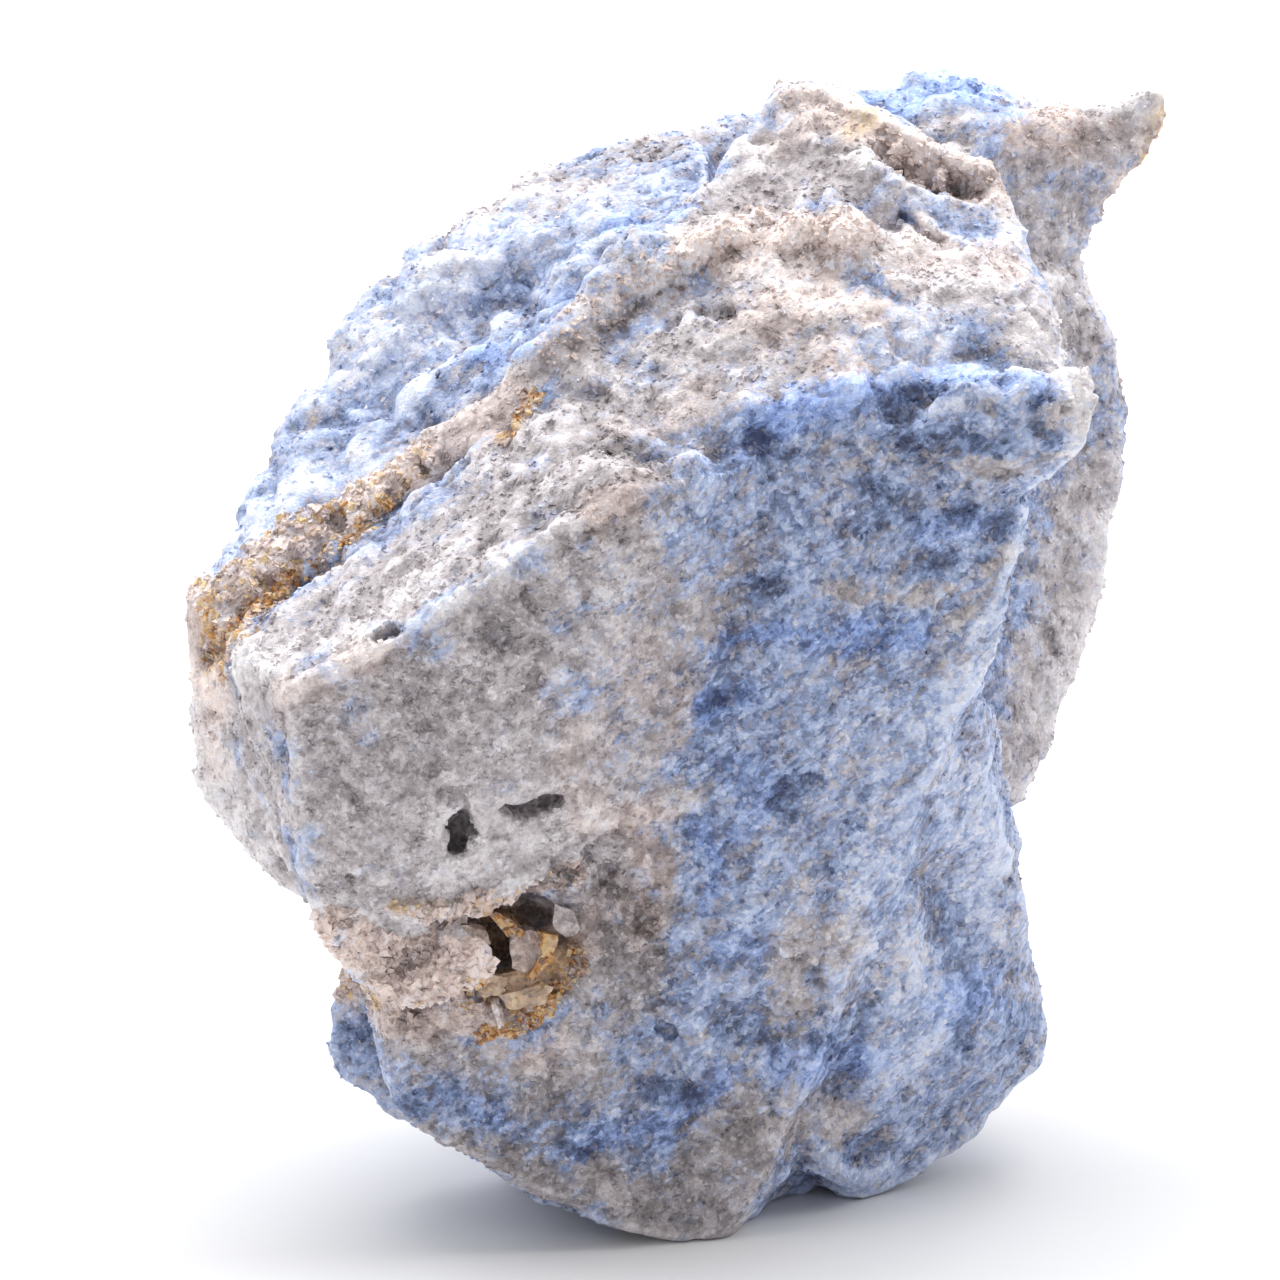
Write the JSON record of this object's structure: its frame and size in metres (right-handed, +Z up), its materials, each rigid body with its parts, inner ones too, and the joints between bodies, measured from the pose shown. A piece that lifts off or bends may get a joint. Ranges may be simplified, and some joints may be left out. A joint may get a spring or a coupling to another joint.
{
  "type": "rough dumortierite",
  "caption": "Rough stone of blue dumortierite in grey-beige quartz with broken ledges, a stained open crack, a small vug and a thin rear fin; it stands by itself on a small flat spot.",
  "frame": {"origin": "on the ground, under the middle of the stone's bounding box", "axes": "+Z up, +X to the right and +Y to the back of the stone as it stands in the picture, whose camera looks along +Y and down"},
  "size_m": [0.0458, 0.037, 0.0513],
  "materials": {
    "dumortierite": "dull, rough and granular, with fine sparkling quartz grains"
  },
  "bodies": {
    "root": {"dumortierite": "dumortierite"}
  },
  "joints": []
}
